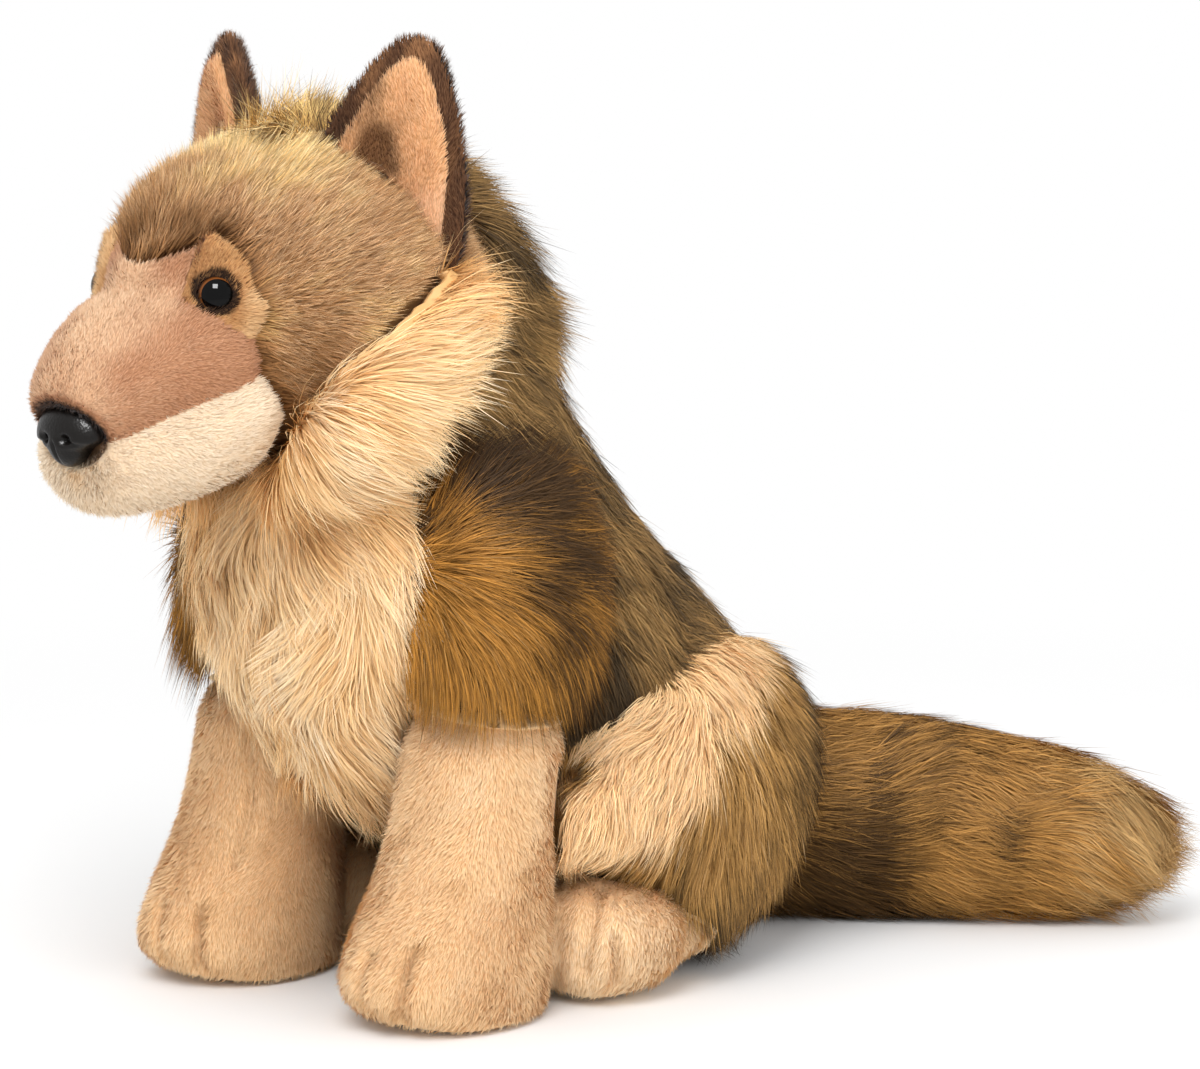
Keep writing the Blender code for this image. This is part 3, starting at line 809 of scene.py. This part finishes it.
def scattered(pelt, node, density, rng):
    # roots of the fibres, spread evenly over the panel, with the skin's normal there
    tris, mixed = [], []
    for index, corners in enumerate(pelt.faces):
        if pelt.buried[index]:
            continue
        beside = pelt.mixed[index] and inside(pelt.outer[corners[0]], solids[node]["box"])
        if pelt.owner[index] == node or beside:
            for k in range(1, len(corners) - 1):
                tris.append((corners[0], corners[k], corners[k + 1]))
                mixed.append(pelt.mixed[index])
    tris, mixed = np.array(tris), np.array(mixed)
    a, b, c = (pelt.points[tris[:, k]] for k in range(3))
    area = np.linalg.norm(np.cross(b - a, c - a), axis=1) / 2
    # next to no pile under the feet and the seat, and less on all that faces down
    down = pelt.normals[tris[:, 0], 2]
    area[(a[:, 2] < 4 * mm) & (down < -0.7)] *= 0.03
    area[down < -0.4] *= 0.5
    count = int(area.sum() / mm**2 * density)
    chosen = np.searchsorted(np.cumsum(area) / area.sum(), rng.random(count))
    u, v = rng.random(count), rng.random(count)
    flip = u + v > 1
    u[flip], v[flip] = 1 - u[flip], 1 - v[flip]
    weights = np.stack([1 - u - v, u, v], axis=1)[:, :, None]
    corner = tris[chosen]
    outer = (pelt.outer[corner] * weights).sum(axis=1)
    keep = np.ones(count, bool)
    for index in np.nonzero(mixed[chosen])[0]:
        keep[index] = pelt.nearest(Vector(outer[index])) == node
    for centre, radii in clearings:
        keep &= (((outer - centre) / radii) ** 2).sum(axis=1) > 1
    points = (pelt.points[corner] * weights).sum(axis=1)
    normal = unit((pelt.normals[corner] * weights).sum(axis=1))
    return points[keep], normal[keep]


# The share of fibres that stand up from the rest, how much each narrows towards its tip, how low it
# may hang, and how much of its shading comes from the skin below and from its own side
fibre = {"strays": 0.07, "narrowing": 0.6, "lowest": 0.4 * mm, "likeSkin": 0.75, "likeBlade": 0.25}


def gather(clump, spacing, density, points, bend, tip, rng):
    # fibres draw together in locks: each leans towards the nearest one that leads
    count = len(points)
    leaders = min(count, max(1, int(count / (density * spacing**2))))
    centres = rng.choice(count, leaders, replace=False)
    tree = KDTree(len(centres))
    for index, centre in enumerate(centres):
        tree.insert(points[centre], index)
    tree.balance()
    leader = centres[[tree.find(point)[1] for point in points]]
    pull = clump * rng.uniform(0.2, 1.0, count)
    tip += (tip[leader] - tip) * pull[:, None]
    bend += (bend[leader] - bend) * (pull * 0.3)[:, None]


def fibreMesh(name, template, place, values, shading):
    # one layer of pile as one mesh
    across, along, faces = template
    count, size = place.shape[:2]
    order = np.arange(count)[:, None]
    loops = np.concatenate([np.array(corners) for corners in faces])
    starts = np.cumsum([0] + [len(corners) for corners in faces[:-1]])
    mesh = bpy.data.meshes.new(name)
    mesh.vertices.add(count * size)
    mesh.vertices.foreach_set("co", place.astype(np.float32).ravel())
    mesh.loops.add(count * len(loops))
    mesh.loops.foreach_set("vertex_index", (order * size + loops).astype(np.int32).ravel())
    mesh.polygons.add(count * len(faces))
    mesh.polygons.foreach_set("loop_start", (order * len(loops) + starts).astype(np.int32).ravel())
    mesh.update(calc_edges=True)
    mesh.shade_smooth()
    mesh.normals_split_custom_set_from_vertices(np.repeat(shading, size, axis=0))
    strandAttribute(mesh, values.reshape(-1, 3))
    # one narrow cell of the map for each fibre, root below and tip above
    grid = math.ceil(math.sqrt(count))
    u = (order % grid + 0.5 + across[None, :] * 0.6) / grid
    v = (order // grid + 0.1 + along[None, :] * 0.8) / grid
    spread = np.stack([u[:, loops], v[:, loops]], axis=2).astype(np.float32)
    mesh.uv_layers.new(name="OFBake").data.foreach_set("uv", spread.ravel())
    return newObject(name, mesh)


def growPile(name, panel, layer, points, normal, rng):
    count = len(points)
    spots = local(points)
    lay = combed(panel, points, normal)
    side = np.cross(normal, lay)
    drift = panel.get("wave", 0.35) * (ripple(spots, 40, 71) + 0.6 * ripple(spots, 14, 72))
    drift += rng.normal(0, layer["stray"], count)
    lay = unit(lay + side * drift[:, None])
    lift = np.radians(panel["lift"]) * rng.uniform(0.6, 1.4, count)
    length = panel["length"] * layer["reach"] * mm * rng.uniform(0.75, 1.15, count)
    length *= 1 - 0.2 * np.clip(creaseDepth(spots), 0, 3)
    for place, size, factor in panel.get("trim", []):
        length *= 1 + (factor - 1) * blot(spots, *place, size)
    lift[rng.random(count) < fibre["strays"]] *= 1.6
    rise = normal * np.sin(lift)[:, None] + lay * np.cos(lift)[:, None]
    bend = points + unit(rise + normal * 0.7) * (length * 0.4)[:, None]
    # at a hem the pile hangs free, out over what it covers
    outward = unit(normal * (1, 1, 0.01))
    for place, size in panel.get("hems", []):
        fall = blot(spots, *place, size)[:, None]
        rise = rise * (1 - fall) + (outward * 0.45 - (0, 0, 0.9)) * fall
    # long pile sinks a little under its own weight
    sink = np.array((0, 0, -0.12)) * (panel["length"] > 10)
    tip = points + unit(rise + sink) * length[:, None]
    if "clump" in panel:
        spacing = 2 + panel["length"] * 0.1
        gather(panel["clump"], spacing, layer["density"], points, bend, tip, rng)
    tip[:, 2] = np.maximum(tip[:, 2], fibre["lowest"])
    bend[:, 2] = np.maximum(bend[:, 2], fibre["lowest"])
    template = templates[layer["segments"]]
    across, along = template[:2]
    twist = rng.uniform(-0.8, 0.8, count)
    flat = unit(np.cross(unit(tip - points), normal))
    face = np.cross(flat, unit(tip - points))
    wide = flat * np.cos(twist)[:, None] + face * np.sin(twist)[:, None]
    width = layer["width"] * mm * rng.uniform(0.7, 1.3, count)
    place = np.empty((count, len(along), 3))
    for index, (x, t) in enumerate(zip(across, along)):
        curve = points * (1 - t) ** 2 + bend * 2 * t * (1 - t) + tip * t * t
        place[:, index] = curve + wide * (x * width * (1 - fibre["narrowing"] * t))[:, None]
    values = np.empty((count, len(along), 3))
    values[:, :, 0] = along[None, :] * layer["dyed"]
    values[:, :, 1] = rng.random(count)[:, None]
    mingled = rng.normal(0, 0.22 if "guard" in panel else 0.08, count)
    values[:, :, 2] = (zoneOf(panel, points) + mingled)[:, None]
    # fibres take most of their shading from the skin that they lie on, as dense pile does
    facing = np.where((face * normal).sum(axis=1) < 0, -1, 1)[:, None]
    shading = normal * fibre["likeSkin"] + face * facing * fibre["likeBlade"]
    shading = unit(shading + rng.normal(0, 0.05, (count, 3)))
    return fibreMesh(name, template, place, values, shading)


face = Pelt(pick("head", "muzzle", "chin", "eye_patch"), voxel=1.5 * mm, smoothing=5)
limbs = Pelt(pick("front_leg", "hind_paw"), voxel=1.5 * mm, smoothing=12)
ears = Pelt(earNodes, voxel=1.4 * mm, smoothing=4)
rest = [node for node in stuffed if node not in face.nodes + limbs.nodes]
trunk = Pelt(rest, voxel=2.4 * mm, smoothing=4)
pelts = {"face": face, "limbs": limbs, "ears": ears, "trunk": trunk}
snapCreases([limbs])
deeper = {"limbs": tucked, "trunk": parted}
for name, pelt in pelts.items():
    pelt.setIn(deeper.get(name))
    say(f"skin of the {name}, {len(pelt.faces)} faces")

triangles = 0
for seed, (pelt, node) in enumerate([(pelt, node) for pelt in pelts.values() for node in pelt.nodes]):
    panel = panelOf(node)
    rng = np.random.default_rng(100 + seed)
    makeSkin(pelt, node)
    under = {
        "density": panel["under"], "segments": 1, "reach": 1.0, "dyed": 1.0,
        "stray": panel.get("stray", 0.14), "width": panel.get("width", 0.46),
    }
    layers = {"pile": under}
    if "guard" in panel:
        under.update({"reach": 0.72, "dyed": 0.75})
        layers["guard"] = {
            "density": panel["guard"], "segments": panel.get("segments", 2), "reach": 1.0, "dyed": 1.0,
            "stray": 0.2, "width": 0.34,
        }
    for kind, layer in layers.items():
        points, normal = scattered(pelt, node, layer["density"], rng)
        pile = growPile(f"{node}_{kind}", panel, layer, points, normal, rng)
        dress(pile, pileMaterials[panel["pile"]])
        made = len(points) * (2 * layer["segments"] - 1)
        triangles += made
        say(f"{node}: {len(points)} fibres, {made} triangles")
say(f"{triangles} triangles of pile")


# Eyes: domed safety eyes. The gaze is in degrees to the side of straight ahead, and the pupil and the
# iris end so many degrees from the middle of the pupil.

eye = {"radius": 6.2 * mm, "gaze": 53, "pupil": 48, "iris": 60, "sunk": 0.8}


def eyeMaterial():
    # Moulded acrylic, back-painted: a black pupil in a brown iris under a wet-looking clear dome
    made, tree, shader = newMaterial("backPaintedAcrylic")
    turn = addNode(tree, "ShaderNodeAttribute", {"attribute_name": "fromPupil"}).outputs["Fac"]
    iris = mixColour(tree, ease(tree, turn, eye["pupil"], eye["iris"]), linear("#74421c"), linear("#241107"))
    outer = mixColour(tree, ease(tree, turn, eye["iris"], eye["iris"] + 6), iris, linear("#0d0806"))
    colour = mixColour(tree, ease(tree, turn, eye["pupil"] - 2, eye["pupil"]), linear("#040404"), outer)
    tree.links.new(colour, shader.inputs["Base Color"])
    shader.inputs["Roughness"].default_value = 0.06
    shader.inputs["Specular IOR Level"].default_value = 0.13
    return made


acrylic = eyeMaterial()
for side, hand in (("left", 1), ("right", -1)):
    node = "eye_" + side
    gaze = math.radians(eye["gaze"])
    look = Vector((hand * math.sin(gaze), -math.cos(gaze), 0.02)).normalized()
    bm = bmesh.new()
    centre = at(hand * (eyeSpot[0] - eye["sunk"]), eyeSpot[1] + eye["sunk"], eyeSpot[2])
    turn = Matrix.Translation(centre) @ look.to_track_quat("Z", "Y").to_matrix().to_4x4()
    bmesh.ops.create_uvsphere(bm, u_segments=64, v_segments=48, radius=eye["radius"])
    turns = [math.degrees(math.acos(max(-1, min(1, vert.co.z / eye["radius"])))) for vert in bm.verts]
    bmesh.ops.transform(bm, verts=bm.verts, matrix=turn)
    mesh = meshFrom(bm, node + "_dome")
    mesh.shade_smooth()
    mesh.attributes.new("fromPupil", "FLOAT", "POINT").data.foreach_set("value", turns)
    dome = dress(newObject(node + "_dome", mesh), acrylic)
    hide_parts(node)
say("eyes set")


# Nose: one moulding, broad above and narrow below, with two nostrils, a fold behind each and a groove
# between them. Depths are shares of the nose's own depth.

nose = {
    "size": (12.2, 6.8, 9.2), "grain": 0.7, "narrowing": 0.4, "groove": 0.12, "nostril": 0.55, "fold": 0.16,
}


def noseMaterial():
    # Soft black vinyl: a fine cast leather grain that breaks up the shine
    made, tree, shader = newMaterial("leatherGrainVinyl")
    place = addNode(tree, "ShaderNodeTexCoord").outputs["Object"]
    grain = addNode(tree, "ShaderNodeTexVoronoi", {2: 1 / (nose["grain"] * mm)}, {0: place})
    cells = grain.outputs["Distance"]
    bump = addNode(tree, "ShaderNodeBump", {"invert": True, 0: 0.8, 1: 0.09 * mm}, {"Height": cells})
    shader.inputs["Base Color"].default_value = linear("#100d0b")
    shader.inputs["Roughness"].default_value = 0.32
    shader.inputs["Specular IOR Level"].default_value = 0.2
    tree.links.new(bump.outputs[0], shader.inputs["Normal"])
    return made


bm = bmesh.new()
forward = Matrix.Rotation(math.pi / 2, 4, "X")
bmesh.ops.create_uvsphere(bm, u_segments=96, v_segments=64, radius=1, matrix=forward)
size = nose["size"]
for vert in bm.verts:
    x, y, z = vert.co
    front = max(0, -y)
    low = float(soften(-z, 0.1, 0.5))
    x *= 1 - nose["narrowing"] * low
    y += front * nose["groove"] * math.exp(-((x / 0.045) ** 2)) * float(soften(-z, 0.1, 0.35))
    for hand in (1, -1):
        out = x * hand
        y += front * nose["nostril"] * math.exp(-(((out - 0.34) / 0.12) ** 2) - ((z + 0.1) / 0.13) ** 2)
        wing = float(soften(out, 0.36, 0.5) * soften(-out, -1.0, -0.7))
        y += front * nose["fold"] * wing * math.exp(-(((z + 0.2 + 0.15 * (out - 0.4)) / 0.06) ** 2))
    vert.co = Vector((x * size[0], y * size[1], z * size[2])) * mm + at(*noseSpot)
bm.normal_update()
noseMesh = meshFrom(bm, "nose_moulding")
noseMesh.shade_smooth()
moulding = dress(newObject("nose_moulding", noseMesh), noseMaterial())
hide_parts("nose")
say("nose set")


# Camera, at the photograph's angle

camera = {"place": (901.1, -852.7, 310), "target": (56.8, 52.3, 140.5), "lens": 125.0}
camData = bpy.data.cameras.new("camera")
camData.lens = camera["lens"]
camData.sensor_width = 36
camData.clip_end = 20
camObject = newObject("camera", camData)
aim(camObject, camera["place"], camera["target"])
bpy.context.scene.camera = camObject


# Floor: white paper that keeps the wolf's shadow and runs out to plain white, in metres

paper = {"near": 0.32, "far": 0.75, "half": 6}
bm = bmesh.new()
bmesh.ops.create_grid(bm, x_segments=1, y_segments=1, size=paper["half"])
floorMesh = meshFrom(bm, "floor")
floor = newObject("floor", floorMesh)


def seenDirectly(tree):
    # 1 for the camera and for what metal, glass and gloss show
    path = addNode(tree, "ShaderNodeLightPath").outputs
    either = maths(tree, "MAXIMUM", path["Is Camera Ray"], path["Is Glossy Ray"])
    return maths(tree, "MAXIMUM", either, path["Is Transmission Ray"])


def paperMaterial():
    # Matt white background paper: even, without gloss
    made, tree, shader = newMaterial("mattPaper")
    shader.inputs["Base Color"].default_value = linear("#efefef")
    shader.inputs["Roughness"].default_value = 1.0
    place = addNode(tree, "ShaderNodeTexCoord").outputs["Object"]
    away = addNode(tree, "ShaderNodeVectorMath", {"operation": "LENGTH"}, {0: place}).outputs["Value"]
    white = addNode(tree, "ShaderNodeEmission", {0: (1, 1, 1, 1), 1: 1.0}).outputs[0]
    share = maths(tree, "MULTIPLY", ease(tree, away, paper["near"], paper["far"]), seenDirectly(tree))
    mix = addNode(tree, "ShaderNodeMixShader", links={0: share, 1: shader.outputs[0], 2: white})
    tree.links.new(mix.outputs[0], tree.nodes["Material Output"].inputs[0])
    return made


floorMesh.materials.append(paperMaterial())


# Light: an even white room, two large softboxes and a small card for the shine

light = {"room": 0.88, "key": 15, "fill": 9, "sparkle": 40}
world = bpy.data.worlds.new("studio")
bpy.context.scene.world = world
world.use_nodes = True
sky = world.node_tree.nodes["Background"]
sky.inputs[0].default_value = (1, 1, 1, 1)
roomLevel = ease(world.node_tree, seenDirectly(world.node_tree), 0.0, 1.0, light["room"], 1.0)
world.node_tree.links.new(roomLevel, sky.inputs[1])


def softbox(name, place, target, size, power):
    data = bpy.data.lights.new(name, "AREA")
    data.shape = "SQUARE"
    data.size = size
    data.energy = power
    lamp = newObject(name, data)
    aim(lamp, place, target)
    lamp.visible_glossy = False
    return lamp


softbox("key", (560, -900, 1250), (0, 0, 120), 0.9, light["key"])
softbox("fill", (1500, -300, 500), (0, 50, 100), 1.2, light["fill"])
# a small card that only the shine of the eyes and the nose picks up
sparkle = softbox("sparkle", (570, -656, 1110), (23, -70, 218), 0.5, light["sparkle"])
sparkle.visible_glossy = True
sparkle.visible_diffuse = False

bpy.context.scene.view_settings.view_transform = "Standard"
